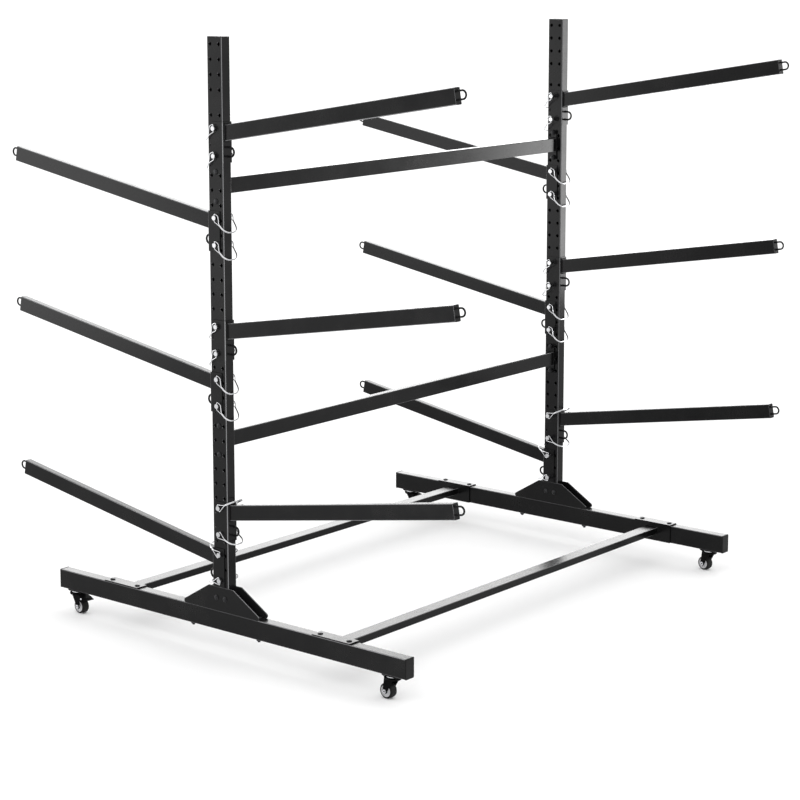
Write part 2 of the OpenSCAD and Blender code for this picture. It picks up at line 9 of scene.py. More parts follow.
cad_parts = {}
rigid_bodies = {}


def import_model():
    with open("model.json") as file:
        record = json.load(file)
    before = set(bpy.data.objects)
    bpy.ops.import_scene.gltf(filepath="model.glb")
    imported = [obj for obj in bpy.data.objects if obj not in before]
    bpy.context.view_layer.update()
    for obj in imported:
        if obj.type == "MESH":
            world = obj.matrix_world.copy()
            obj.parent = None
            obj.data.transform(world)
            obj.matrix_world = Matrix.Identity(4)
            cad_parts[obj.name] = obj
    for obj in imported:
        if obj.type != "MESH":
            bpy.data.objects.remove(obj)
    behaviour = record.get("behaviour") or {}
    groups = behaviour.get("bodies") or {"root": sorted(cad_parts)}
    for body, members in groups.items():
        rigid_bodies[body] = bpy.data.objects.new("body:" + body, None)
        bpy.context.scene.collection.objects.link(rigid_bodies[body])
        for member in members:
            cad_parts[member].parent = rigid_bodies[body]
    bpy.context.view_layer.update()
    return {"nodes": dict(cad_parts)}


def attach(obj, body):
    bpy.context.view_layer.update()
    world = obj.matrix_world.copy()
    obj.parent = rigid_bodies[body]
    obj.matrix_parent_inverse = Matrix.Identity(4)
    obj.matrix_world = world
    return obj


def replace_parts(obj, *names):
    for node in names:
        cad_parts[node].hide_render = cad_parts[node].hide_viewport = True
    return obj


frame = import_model()
nodes = frame["nodes"]
rng = random.Random(11)

# ---------------------------------------------------------------- dimensions of the rack, metres
YU = 0.9144                      # uprights at y = -YU and +YU
BT = 0.1445                      # top of the foot beams
UW, UD = 0.03175, 0.019          # half width and half depth of an upright
WEB = 0.0349                     # outer face of an arm bracket's web
TILT = math.radians(9.72)
ARM_LEN, ARM_H, ARM_W = 0.9325, 0.0508, 0.0254
ROOT = {"r": {"top": 1.5615, "mid": 0.9282, "low": 0.333}, "l": {"top": 1.2782, "mid": 0.7572, "low": 0.177}}
PIN_GAP = 0.0872
HEAD_Y = {"f": -0.0286, "r": -0.0416}   # pin head centres from the uprights' centre lines
LONGER = {"f": 0.0, "r": 13.0}          # mm that the rear pins and bails are longer
WIRE_R = 0.0012
SIDES = {"r": 1, "l": -1}
ENDS = {"f": -1, "r": 1}
HEADING = {"fr": 178, "rr": 171, "fl": -5, "rl": -2}
TRAIL = 0.019

# ---------------------------------------------------------------- camera
cam_data = bpy.data.cameras.new("camera")
cam_data.sensor_width = 36.0
cam_data.lens = 2241.5 / 800 * 36.0
cam_data.shift_x = -(402.52 - 400) / 800
cam_data.shift_y = -(400 - 301.28) / 800
cam_data.clip_end = 1000
cam = bpy.data.objects.new("camera", cam_data)
cam.location = (4.9316, -5.9947, 2.3291)
cam.rotation_euler = (math.pi / 2 - 0.163361, 0, 0.688939)
bpy.context.scene.collection.objects.link(cam)
bpy.context.scene.camera = cam

# ---------------------------------------------------------------- light
scene = bpy.context.scene
scene.view_settings.view_transform = "Standard"
scene.view_settings.look = "None"

world = bpy.data.worlds.new("studio")
scene.world = world
world.use_nodes = True
wn = world.node_tree.nodes
wn["Background"].inputs["Color"].default_value = (1.0, 1.0, 1.0, 1)
wn["Background"].inputs["Strength"].default_value = 1.30


def softbox(name, place, target, width, height, power):
    """A soft rectangular studio light, pointed at target."""
    data = bpy.data.lights.new(name, "AREA")
    data.shape = "RECTANGLE"
    data.size, data.size_y = width, height
    data.energy = power
    data.color = (1.0, 1.0, 1.0)
    o = bpy.data.objects.new(name, data)
    o.location = place
    o.rotation_euler = (Vector(target) - Vector(place)).to_track_quat("-Z", "Y").to_euler()
    scene.collection.objects.link(o)
    return o


boxes = [
    softbox("softbox_back_left", (-3.84, 4.62, 2.7), (0.0, 0.0, 0.9), 5.0, 4.0, 275),
    softbox("softbox_back_right", (1.192, 2.809, 1.45), (0.062, 1.179, 3.05), 0.8, 1.82, 56),
    softbox("softbox_front_left", (-3.6, -3.1, 1.25), (-0.6, -0.9, 0.9), 1.8, 2.2, 40),
]
edge_boxes = [
    softbox("softbox_edge", (1.62, -2.70, 0.9), (0.0, -0.9, 0.9), 1.2, 2.0, 420),
    softbox("softbox_overhead", (-2.0, -1.2, 3.4), (0.0, -0.6, 1.0), 1.2, 1.2, 260),
]


# ---------------------------------------------------------------- materials
class Mat:
    """A node material with the few helpers that the finishes below share."""

    def __init__(self, name):
        self.m = bpy.data.materials.new(name)
        self.m.use_nodes = True
        self.t = self.m.node_tree
        self.t.nodes.clear()
        self.out = self.t.nodes.new("ShaderNodeOutputMaterial")
        self.b = self.t.nodes.new("ShaderNodeBsdfPrincipled")
        self.t.links.new(self.b.outputs[0], self.out.inputs[0])
        self.co = self.t.nodes.new("ShaderNodeTexCoord").outputs["Object"]

    def node(self, kind, **props):
        n = self.t.nodes.new(kind)
        for k, v in props.items():
            setattr(n, k, v)
        return n

    def put(self, socket, value):
        if isinstance(value, bpy.types.NodeSocket):
            self.t.links.new(value, socket)
        else:
            socket.default_value = value

    def set(self, name, value):
        self.put(self.b.inputs[name], value)

    def noise(self, scale, detail=3.0, rough=0.5, co=None, stretch=None):
        src = co or self.co
        if stretch:
            mp = self.node("ShaderNodeMapping")
            mp.inputs["Scale"].default_value = stretch
            self.put(mp.inputs["Vector"], src)
            src = mp.outputs[0]
        n = self.node("ShaderNodeTexNoise")
        self.put(n.inputs["Vector"], src)
        n.inputs["Scale"].default_value = scale
        n.inputs["Detail"].default_value = detail
        n.inputs["Roughness"].default_value = rough
        return n.outputs["Fac"]

    def ramp(self, value, lo, hi, a=0.0, b=1.0):
        n = self.node("ShaderNodeMapRange")
        n.clamp = True
        self.put(n.inputs["Value"], value)
        for i, v in zip(("From Min", "From Max", "To Min", "To Max"), (lo, hi, a, b)):
            n.inputs[i].default_value = v
        return n.outputs["Result"]

    def mix(self, fac, a, b):
        n = self.node("ShaderNodeMix", data_type="RGBA")
        self.put(n.inputs["Factor"], fac)
        self.put(n.inputs["A"], a if isinstance(a, bpy.types.NodeSocket) else (*a, 1) if len(a) == 3 else a)
        self.put(n.inputs["B"], b if isinstance(b, bpy.types.NodeSocket) else (*b, 1) if len(b) == 3 else b)
        return n.outputs["Result"]

    def math(self, op, a, b=0.0):
        n = self.node("ShaderNodeMath", operation=op)
        self.put(n.inputs[0], a)
        self.put(n.inputs[1], b)
        return n.outputs[0]

    def vec(self, op, a, b=None, out=0):
        n = self.node("ShaderNodeVectorMath", operation=op)
        self.put(n.inputs[0], a)
        if b is not None:
            self.put(n.inputs[1], b)
        return n.outputs[out]

    def bump(self, height, distance, strength=1.0, after=None):
        n = self.node("ShaderNodeBump")
        n.inputs["Strength"].default_value = strength
        n.inputs["Distance"].default_value = distance
        self.put(n.inputs["Height"], height)
        if after is not None:
            self.put(n.inputs["Normal"], after)
        return n.outputs[0]


def powder_coat(name, tone=0.0012, rough=0.25, level=0.23, flow=0.00004, edges=1.0):
    """Black satin powder coat: fine orange peel, slow changes of gloss, a little dust grey, and a painted highlight: a
    paler base colour over the rounded edges.
    """
    s = Mat(name)
    split = s.node("ShaderNodeSeparateXYZ")
    s.put(split.inputs[0], s.node("ShaderNodeTexCoord").outputs["Normal"])
    face = s.math("MAXIMUM", s.math("ABSOLUTE", split.outputs[0]), s.math("MAXIMUM", s.math("ABSOLUTE", split.outputs[1]), s.math("ABSOLUTE", split.outputs[2])))
    place = s.node("ShaderNodeSeparateXYZ")
    s.put(place.inputs[0], s.co)
    off = s.math("ABSOLUTE", s.math("SUBTRACT", s.math("ABSOLUTE", place.outputs[1]), YU))
    # painted highlight: faces whose normals lie off the axes (rounded edges) get a pale grey base colour, except within
    # 6 mm of the uprights' centre planes
    painted_edge_highlight = s.math("MULTIPLY", s.ramp(face, 0.90, 0.97, edges, 0.0), s.math("GREATER_THAN", off, 0.006))
    cloud = s.noise(9.0, 4.0, 0.6)
    fine = s.noise(140.0, 3.0, 0.55)
    peel = s.noise(620.0, 2.0, 0.5)
    dust = s.ramp(cloud, 0.45, 0.75)
    body = s.mix(dust, (tone, tone, tone * 1.05), (tone * 1.7, tone * 1.7, tone * 1.7))
    # the 0.038 grey is the painted edge highlight colour
    s.set("Base Color", s.mix(painted_edge_highlight, body, (0.038, 0.038, 0.039)))
    r = s.math("ADD", s.ramp(cloud, 0.3, 0.7, rough - 0.03, rough + 0.03), s.ramp(fine, 0.3, 0.7, -0.02, 0.02))
    s.set("Roughness", r)
    s.set("IOR", 1.33)
    s.set("Specular IOR Level", level)
    s.set("Normal", s.bump(peel, flow, 0.35))
    return s.m


def zinc_plate(name, rough=0.24, tone=0.50):
    """Bright zinc plate: cool pale metal with faint turning marks and patchy gloss."""
    s = Mat(name)
    patch = s.noise(60.0, 3.0, 0.6)
    s.set("Metallic", 1.0)
    s.set("Base Color", s.mix(s.ramp(patch, 0.35, 0.7), (tone, tone, tone * 1.02), (tone * 0.86, tone * 0.87, tone * 0.89)))
    s.set("Roughness", s.ramp(patch, 0.3, 0.7, rough - 0.05, rough + 0.07))
    lines = s.noise(900.0, 2.0, 0.5, stretch=(1.0, 6.0, 1.0))
    s.set("Normal", s.bump(lines, 0.00002, 0.3))
    return s.m


def spring_wire(name):
    """Drawn spring wire, bright, with fine draw lines, and painted shade: much darker where it runs past an upright's
    centre plane towards +Y.
    """
    s = Mat(name)
    patch = s.noise(90.0, 3.0, 0.6)
    place = s.node("ShaderNodeSeparateXYZ")
    s.put(place.inputs[0], s.co)
    # painted shade: the wire's colour falls to dark grey from 12 mm before to 18 mm past the nearest upright's centre
    # plane, towards +Y
    back = s.math("SUBTRACT", s.math("ABSOLUTE", place.outputs[1]), YU)
    front = s.math("MULTIPLY", s.math("SIGN", place.outputs[1]), back)
    painted_shade_behind_upright = s.ramp(front, -0.012, 0.018)
    s.set("Metallic", 1.0)
    bright = s.mix(s.ramp(patch, 0.35, 0.7), (0.78, 0.78, 0.79), (0.64, 0.65, 0.67))
    # the 0.10 grey is the painted shade colour
    s.set("Base Color", s.mix(painted_shade_behind_upright, bright, (0.10, 0.10, 0.105)))
    s.set("Roughness", s.ramp(patch, 0.3, 0.7, 0.12, 0.22))
    s.set("Normal", s.bump(s.noise(1400.0, 2.0, 0.5), 0.00001, 0.3))
    return s.m


def black_plastic(name):
    """Moulded polyethylene with a fine spark texture."""
    s = Mat(name)
    grain = s.noise(1100.0, 3.0, 0.6)
    patch = s.noise(30.0, 3.0, 0.5)
    s.set("Base Color", s.mix(s.ramp(patch, 0.35, 0.7), (0.004, 0.004, 0.0042), (0.007, 0.007, 0.007)))
    s.set("Roughness", s.ramp(grain, 0.3, 0.7, 0.42, 0.56))
    s.set("IOR", 1.33)
    s.set("Specular IOR Level", 0.3)
    s.set("Normal", s.bump(grain, 0.00006, 0.5))
    return s.m


def black_oxide(name):
    """Black oxide fasteners: dark metal with slightly polished high spots."""
    s = Mat(name)
    patch = s.noise(220.0, 3.0, 0.6)
    s.set("Metallic", 0.85)
    s.set("Base Color", s.mix(s.ramp(patch, 0.4, 0.75), (0.012, 0.012, 0.013), (0.040, 0.040, 0.042)))
    s.set("Roughness", s.ramp(patch, 0.3, 0.7, 0.30, 0.44))
    s.set("Normal", s.bump(s.noise(900.0, 2.0, 0.5), 0.00002, 0.4))
    return s.m


def along(s, point, direction):
    """(distance from the line, place along it) of the shaded point, in metres."""
    rel = s.vec("SUBTRACT", s.co, point)
    d = Vector(direction).normalized()
    far = s.vec("LENGTH", s.vec("CROSS_PRODUCT", rel, tuple(d)), out=1)
    at = s.vec("DOT_PRODUCT", rel, tuple(d), out=1)
    return far, at


def caster_enamel(name, zinc_masks, level=0.12):
    """Black enamel pressed steel; the masks are lines round which the metal is bright zinc."""
    s = Mat(name)
    cloud = s.noise(25.0, 4.0, 0.6)
    fine = s.noise(700.0, 2.0, 0.5)
    z = None
    for point, direction, radius, lo, hi, inner in zinc_masks:
        far, at = along(s, point, direction)
        inside = s.math("MULTIPLY", s.math("LESS_THAN", far, radius), s.math("GREATER_THAN", far, inner - 0.0001))
        beyond = s.math("GREATER_THAN", s.math("ABSOLUTE", at), lo)
        under = s.math("LESS_THAN", s.math("ABSOLUTE", at), hi)
        m = s.math("MULTIPLY", inside, s.math("MULTIPLY", beyond, under))
        z = m if z is None else s.math("MAXIMUM", z, m)
    dark = s.mix(s.ramp(cloud, 0.4, 0.75), (0.003, 0.003, 0.0032), (0.007, 0.007, 0.007))
    bright = s.mix(s.ramp(fine, 0.35, 0.7), (0.80, 0.80, 0.82), (0.62, 0.63, 0.66))
    if z is None:
        z = 0.0
    s.set("Base Color", s.mix(z, dark, bright))
    s.set("Metallic", z)
    s.set("Roughness", s.math("ADD", s.math("MULTIPLY", s.math("SUBTRACT", 1.0, z), 0.16), s.ramp(fine, 0.3, 0.7, 0.28, 0.34)))
    s.set("IOR", 1.33)
    s.set("Specular IOR Level", level)
    s.set("Normal", s.bump(fine, 0.00004, 0.35))
    return s.m


def wheel_finish(name, point, direction):
    """Pale grey moulded core inside a dark rim, and a dark rubber tread."""
    s = Mat(name)
    far, at = along(s, point, direction)
    tread = s.math("GREATER_THAN", far, 0.0188)
    cloud = s.noise(120.0, 3.0, 0.6)
    fine = s.noise(900.0, 2.0, 0.5)
    core = s.mix(s.ramp(cloud, 0.35, 0.7), (0.50, 0.50, 0.51), (0.40, 0.40, 0.41))
    rubber = s.mix(s.ramp(cloud, 0.35, 0.75), (0.005, 0.005, 0.005), (0.010, 0.010, 0.010))
    s.set("Base Color", s.mix(tread, core, rubber))
    s.set("IOR", 1.33)
    s.set("Specular IOR Level", 0.3)
    s.set("Roughness", s.math("ADD", s.math("MULTIPLY", tread, 0.22), s.ramp(fine, 0.3, 0.7, 0.34, 0.42)))
    s.set("Normal", s.bump(fine, 0.00005, 0.5))
    return s.m


coat = powder_coat("black_powder_coat")
# the weld coat is the same powder coat without the painted edge highlight
weld_coat = powder_coat("black_powder_coat_over_weld", edges=0.0)
zinc = zinc_plate("zinc_pin")
wire_mat = spring_wire("spring_wire")
plastic = black_plastic("black_plastic")
bolt_mat = black_oxide("black_bolt")


def dress(o, material):
    o.data.materials.clear()
    o.data.materials.append(material)


caster_at = {k: Vector((SIDES[k[1]] * 0.710, ENDS[k[0]] * YU, 0.0)) for k in HEADING}
axle = {}
for k, h in HEADING.items():
    a = math.radians(h)
    axle[k] = (caster_at[k] + Vector((TRAIL * math.cos(a), TRAIL * math.sin(a), 0.025)), Vector((-math.sin(a), math.cos(a), 0.0)))

for n, o in nodes.items():
    if n.startswith("pins_"):
        dress(o, zinc)
    elif n.startswith("wire"):
        dress(o, wire_mat)
    elif n == "end_caps":
        dress(o, plastic)
    elif n == "bolts_and_nuts":
        dress(o, bolt_mat)
    elif n == "caster_plates":
        dress(o, caster_enamel("caster_plate_enamel", [((p.x, p.y, 0.0), (0, 0, 1), 0.009, 0.0, 0.0665, 0.0) for p in caster_at.values()] + [((p.x, p.y, 0.0), (0, 0, 1), 0.0215, 0.071, 0.0764, 0.0) for p in caster_at.values()]))
    elif n.startswith("caster_fork_"):
        p, d = axle[n[-2:]]
        turn = math.radians(HEADING[n[-2:]])
        brake = caster_at[n[-2:]] + Vector((0.041 * math.cos(turn), 0.041 * math.sin(turn), 0.0567))
        pivot = [(tuple(brake), tuple(d), 0.0032, 0.019, 0.03, 0.0)] if n[-1] == "l" else []
        dress(o, caster_enamel("fork_enamel_" + n[-2:], [(tuple(p), tuple(d), 0.0072, 0.01775, 0.03, 0.0032)] + pivot, 0.03))
    elif n.startswith("wheel_"):
        p, d = axle[n[-2:]]
        dress(o, wheel_finish("wheel_finish_" + n[-2:], tuple(p), tuple(d)))
    else:
        dress(o, coat)


# ---------------------------------------------------------------- helpers for new pieces
def new_object(name, bm, material, body, smooth=True):
    me = bpy.data.meshes.new(name)
    bmesh.ops.recalc_face_normals(bm, faces=bm.faces)
    bm.to_mesh(me)
    bm.free()
    for p in me.polygons:
        p.use_smooth = smooth
    me.materials.append(material)
    o = bpy.data.objects.new(name, me)
    scene.collection.objects.link(o)
    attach(o, body)
    return o


def catmull(points, per=4):
    """A centripetal Catmull-Rom curve through the points."""
    p = [Vector(q) for q in points]
    p = [p[0] + (p[0] - p[1])] + p + [p[-1] + (p[-1] - p[-2])]
    out = []
    for i in range(1, len(p) - 2):
        p0, p1, p2, p3 = p[i - 1:i + 3]
        t0 = 0.0
        t1 = t0 + max((p1 - p0).length, 1e-9) ** 0.5
        t2 = t1 + max((p2 - p1).length, 1e-9) ** 0.5
        t3 = t2 + max((p3 - p2).length, 1e-9) ** 0.5
        for k in range(per):
            t = t1 + (t2 - t1) * k / per
            a1 = p0 * ((t1 - t) / (t1 - t0)) + p1 * ((t - t0) / (t1 - t0))
            a2 = p1 * ((t2 - t) / (t2 - t1)) + p2 * ((t - t1) / (t2 - t1))
            a3 = p2 * ((t3 - t) / (t3 - t2)) + p3 * ((t - t2) / (t3 - t2))
            b1 = a1 * ((t2 - t) / (t2 - t0)) + a2 * ((t - t0) / (t2 - t0))
            b2 = a2 * ((t3 - t) / (t3 - t1)) + a3 * ((t - t1) / (t3 - t1))
            out.append(b1 * ((t2 - t) / (t2 - t1)) + b2 * ((t - t1) / (t2 - t1)))
    out.append(p[-2])
    return out


def sweep(bm, path, radius, sides=12, closed=False, radii=None):
    """A round tube along the path, with rotation-minimising rings; capped unless closed."""
    n = len(path)
    tangent = []
    for i in range(n):
        a = path[(i - 1) % n] if closed else path[max(i - 1, 0)]
        b = path[(i + 1) % n] if closed else path[min(i + 1, n - 1)]
        tangent.append((b - a).normalized())
    ref = Vector((0, 0, 1)) if abs(tangent[0].z) < 0.9 else Vector((0, 1, 0))
    normal = (ref - tangent[0] * ref.dot(tangent[0])).normalized()
    rings = []
    for i in range(n):
        normal = (normal - tangent[i] * normal.dot(tangent[i])).normalized()
        side = tangent[i].cross(normal)
        r = radii[i] if radii else radius
        rings.append([bm.verts.new(path[i] + (normal * math.cos(2 * math.pi * j / sides) + side * math.sin(2 * math.pi * j / sides)) * r) for j in range(sides)])
    for i in range(n if closed else n - 1):
        a, b = rings[i], rings[(i + 1) % n]
        shift = 0
        if closed and i == n - 1:
            shift = min(range(sides), key=lambda s: sum((a[j].co - b[(j + s) % sides].co).length for j in range(sides)))
        for j in range(sides):
            q = (j + 1) % sides
            bm.faces.new((a[j], a[q], b[(q + shift) % sides], b[(j + shift) % sides]))
    if not closed:
        bm.faces.new(rings[0][::-1])
        bm.faces.new(rings[-1])


# ---------------------------------------------------------------- wire bails, smooth and round
def fillet(a, p, b, r, n):
    a, p, b = Vector(a), Vector(p), Vector(b)
    v1, v2 = (a - p).normalized(), (b - p).normalized()
    h = math.acos(max(-1, min(1, v1.dot(v2)))) / 2
    c = p + (v1 + v2).normalized() * (r / math.sin(h))
    t1, t2 = p + v1 * (r / math.tan(h)) - c, p + v2 * (r / math.tan(h)) - c
    a1 = math.atan2(t1.y, t1.x)
    d = math.atan2(t2.y, t2.x) - a1
    d = (d + math.pi) % (2 * math.pi) - math.pi
    return [(c.x + r * math.cos(a1 + d * i / n), c.y + r * math.sin(a1 + d * i / n)) for i in range(n + 1)]


RING_U = 76.0
B0, B1, B2, B3 = (2, 29), (3, 62.5), (66, 62), (RING_U, 0)
BOW = fillet(B0, B1, B2, 26, 9) + fillet(B1, B2, B3, 28, 9)
STRAND = 1.35
OVER = RING_U + 6.4
DROOP = math.radians(47.5)


def tip_u(b):
    return B2[0] + (B3[0] - B2[0]) * (B2[1] - b) / B2[1]


def pt(u, b, n, d):
    return (b * math.cos(d) - n * math.sin(d), u, b * math.sin(d) + n * math.cos(d))


def strand_across(s, d):
    return ([pt(u, b, n * s, d) for u, b, n in ((0, 0, 3.9), (0, 0, 10.2), (0, 1.1, 11.4), (0, 3, 11.3), (0, 26, 2.3), (0.8, 30, STRAND))]
            + [pt(u, b, s * STRAND, d) for u, b in BOW]
            + [pt(u, b, n * s, d) for u, b, n in ((tip_u(20), 20, STRAND), (tip_u(14.5), 14.5, 2.4), (tip_u(9.5), 9.5, 5.3), (RING_U - 0.7, 5, 6.7),
                                                 (RING_U + 0.5, 0.5, 6.9), (RING_U + 3.4, -2.4, 6.2), (RING_U + 5.9, -3.6, 3.5))])


def strand_over():
    return ([(0, 0, 3.9), (0, 0, 10.6), (1.2, 0, 12), (3.2, 0, 12.2), (12.5, 0, 8.2), (15.2, 0, 5.6), (16.6, 0, 2)]
            + [pt(0, 27.5, 1.9, -DROOP), pt(0.8, 30.5, STRAND, -DROOP)]
            + [pt(u, b, STRAND, -DROOP) for u, b in BOW]
            + [pt(tip_u(20), 20, STRAND, -DROOP), pt(tip_u(15), 15, 2.2, -DROOP)]
            + [(11, RING_U - 1.5, -4), (9.6, RING_U - 1.2, 1.2), (6.6, RING_U - 0.8, 5.2), (2.5, RING_U - 0.2, 6.9), (0, RING_U + 0.6, 7),
               (-1.6, RING_U + 3.4, 6.2), (-2.8, RING_U + 5.9, 3.5)])


def strand_under():
    return ([(0, 0, -3.9), (0, 0, -10.6), (1, 0, -12.4), (3, 0, -13.6)]
            + [pt(0, 27.5, -1.9, -DROOP), pt(0.8, 30.5, -STRAND, -DROOP)]
            + [pt(u, b, -STRAND, -DROOP) for u, b in BOW]
            + [pt(tip_u(20), 20, -STRAND, -DROOP), pt(tip_u(15), 15, -2.4, -DROOP)]
            + [(4.5, RING_U - 1.2, -10.2), (1.8, RING_U - 0.5, -7.8), (0.3, RING_U + 0.6, -7), (-1.6, RING_U + 3.4, -6.2), (-2.8, RING_U + 5.9, -3.5)])


def bail(bm, side, end, z, points):
    """points are in mm about the pin head, for a bail that reaches along +X; side mirrors it."""
    y = ENDS[end] * YU + HEAD_Y[end]
    place = [Vector((side * p[0] / 1000, y + (p[1] + (LONGER[end] if p[1] > 35 else 0)) / 1000, z + p[2] / 1000)) for p in points]
    sweep(bm, catmull(place, 4), WIRE_R, 12)


for e, ey in ENDS.items():
    for s, sx in SIDES.items():
        for level in ("top", "mid"):
            node = "wires_%s%s_%s" % (e, s, level)
            bm = bmesh.new()
            for q in (-1, 1):
                bail(bm, -sx, e, BT + ROOT[s][level] - 0.030 + q * PIN_GAP / 2,
                     strand_over() + [(-3.2, OVER, 0)] + strand_under()[::-1])
            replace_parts(new_object("bails_%s%s_%s" % (e, s, level), bm, wire_mat, node), node)
        for word, q, d in (("upper", 1, 27), ("lower", -1, -27 if s == "r" else -13)):
            node = "wire_%s%s_low_%s" % (e, s, word)
            d = math.radians(d)
            bm = bmesh.new()
            bail(bm, sx, e, BT + ROOT[s]["low"] - 0.030 + q * PIN_GAP / 2,
                 strand_across(1, d) + [pt(OVER, -4, 0, d)] + strand_across(-1, d)[::-1])
            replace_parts(new_object("bail_%s%s_low_%s" % (e, s, word), bm, wire_mat, node), node)


# ---------------------------------------------------------------- weld beads
def bead(bm, path, radius=0.0016, step=0.0022, closed=True):
    """A laid weld bead: a low rope of overlapping ripples along the path."""
    pts = []
    count = len(path)
    for i in range(count if closed else count - 1):
        a, b = path[i], path[(i + 1) % count]
        k = max(1, round((b - a).length / (step / 2)))
        pts += [a + (b - a) * (j / k) for j in range(k)]
    if not closed:
        pts.append(path[-1])
    radii = [radius * (1 + 0.16 * (1 if i % 2 else -1) + rng.uniform(-0.07, 0.07)) for i in range(len(pts))]
    sweep(bm, pts, radius, 8, closed, radii)


def rect_path(centre, ex, ey, half_x, half_y, corner=0.0035):
    """A rounded rectangle about centre in the plane of ex and ey."""
    out = []
    for sx, sy, a0 in ((1, 1, 0), (-1, 1, 90), (-1, -1, 180), (1, -1, 270)):
        for k in range(4):
            a = math.radians(a0 + k * 30)
            out.append(centre + ex * (sx * (half_x - corner) + corner * math.cos(a)) + ey * (sy * (half_y - corner) + corner * math.sin(a)))
    return out


def circle_path(centre, ex, ey, radius, count=14):
    return [centre + ex * (radius * math.cos(2 * math.pi * k / count)) + ey * (radius * math.sin(2 * math.pi * k / count)) for k in range(count)]


for e, ey in ENDS.items():
    for s, sx in SIDES.items():
        bm = bmesh.new()
        for level, root in ROOT[s].items():
            z = BT + root
            y = ey * YU
            # arm tube to bracket: the tilted tube meets the upright web
            c = Vector((sx * (WEB + 0.0002), y, z + (WEB - UW) * math.tan(TILT)))
            bead(bm, rect_path(c, Vector((0, 1, 0)), Vector((0, 0, 1)), ARM_W / 2 + 0.0012, ARM_H / 2 / math.cos(TILT) + 0.0012), 0.0030, 0.0030)
            # lashing ring to bracket
            for q in (-1, 1):
                bead(bm, circle_path(Vector((sx * (WEB + 0.0003), y, z - 0.060 + q * 0.0147)), Vector((0, 1, 0)), Vector((0, 0, 1)), 0.0038), 0.0011, 0.0018)
            # strap loop to end plate
            ax = Vector((sx * math.cos(TILT), 0, math.sin(TILT)))
            up = Vector((-sx * math.sin(TILT), 0, math.cos(TILT)))
            base = Vector((sx * UW, y, z))
            for q in (-1, 1):
                bead(bm, circle_path(base + ax * (ARM_LEN + 0.0037) + up * (0.0013 + q * 0.0129), Vector((0, 1, 0)), up, 0.0035), 0.0011, 0.0018)
        rims = bmesh.new()
        for level, root in ROOT[s].items():
            ax = Vector((sx * math.cos(TILT), 0, math.sin(TILT)))
            up = Vector((-sx * math.sin(TILT), 0, math.cos(TILT)))
            c = Vector((sx * UW, ey * YU, BT + root)) + ax * (ARM_LEN + 0.0035 - 0.0012)
            sweep(rims, rect_path(c, Vector((0, 1, 0)), up, ARM_W / 2 - 0.0009, ARM_H / 2 - 0.0009), 0.0012, 12, True)
        new_object("arm_end_rims_%s%s" % (e, s), rims, coat, "frame")
        new_object("arm_welds_%s%s" % (e, s), bm, weld_coat, "frame")

bm = bmesh.new()
half = YU - UD - 0.00015 - 0.005
for z in (BT + 1.391, BT + 0.571):
    for sy in (-1, 1):
        bead(bm, rect_path(Vector((0, sy * (half - 0.0002), z)), Vector((1, 0, 0)), Vector((0, 0, 1)), 0.0127 - 0.0004, 0.0254 + 0.0008))
new_object("crossbar_welds", bm, weld_coat, "frame")

bm = bmesh.new()
half = YU - 0.020 - 0.00015 - 0.004
for sx in (-1, 1):
    for sy in (-1, 1):
        bead(bm, rect_path(Vector((sx * 0.4728, sy * (half - 0.0002), BT - 0.025)), Vector((1, 0, 0)), Vector((0, 0, 1)), 0.02525 + 0.0008, 0.0125 + 0.0008))
new_object("base_crossbar_welds", bm, weld_coat, "frame")

# ---------------------------------------------------------------- rounded edges of the folded feet
bm = bmesh.new()
for sy in (-1, 1):
    for face in (-0.02215, -0.01915, 0.01915, 0.02215):
        inward = 0.0006 if face in (-0.02215, 0.01915) else -0.0006
        outline = [(-0.1674, 0.0080), (-0.1638, 0.0144), (-0.0539, 0.0809), (0.0539, 0.0809), (0.1638, 0.0144), (0.1674, 0.0080)]
        path = [Vector((x, sy * YU + face + inward, BT + z)) for x, z in outline]
        fine = []
        for a, b in zip(path, path[1:]):
            k = max(1, round((b - a).length / 0.006))
            fine += [a + (b - a) * (j / k) for j in range(k)]
        sweep(bm, fine + [path[-1]], 0.0008, 10)
new_object("foot_edges", bm, coat, "frame")

# ---------------------------------------------------------------- bolts and nuts with chamfers and threads
def hex_block(bm, place, af, height, bore=None, chamfer_top=True, chamfer_low=False):
    """A hexagon head or nut along +Z of place, its corners turned off at 30 degrees."""
    n = 72
    flat = af / 2
    rc = flat * 0.97

    def reach(k):
        a = (2 * math.pi * k / n) % (math.pi / 3) - math.pi / 6
        return flat / math.cos(a)

    def ring(fn):
        out = []
        for k in range(n):
            r, z = fn(k)
            a = 2 * math.pi * k / n
            out.append(bm.verts.new(place @ Vector((r * math.cos(a), r * math.sin(a), z))))
        return out

    slope = math.tan(math.radians(30))
    rings = []
    low = bore if bore else 0.0005
    rings.append(ring(lambda k: (low, 0.0)))
    if chamfer_low:
        rings.append(ring(lambda k: (rc, 0.0)))
        rings.append(ring(lambda k: (reach(k), (reach(k) - rc) * slope)))
    else:
        rings.append(ring(lambda k: (flat * 0.95, 0.0)))
        rings.append(ring(lambda k: (flat * 0.95, 0.0003)))
        rings.append(ring(lambda k: (reach(k), 0.0003)))
    rings.append(ring(lambda k: (reach(k), height - (reach(k) - rc) * slope)))
    rings.append(ring(lambda k: (rc, height)))
    rings.append(ring(lambda k: (rc * 0.86, height)))
    if bore:
        rings.append(ring(lambda k: (bore, height)))
    else:
        rings.append(ring(lambda k: (rc * 0.80, height - 0.0002)))
        rings.append(ring(lambda k: (0.0005, height - 0.0002)))
    for a, b in zip(rings, rings[1:]):
        for k in range(n):
            q = (k + 1) % n
            bm.faces.new((a[k], a[q], b[q], b[k]))
    if bore:
        a, b = rings[-1], rings[0]
        for k in range(n):
            q = (k + 1) % n
            bm.faces.new((a[k], a[q], b[q], b[k]))
    else:
        bm.faces.new(rings[0][::-1])
        bm.faces.new(rings[-1])


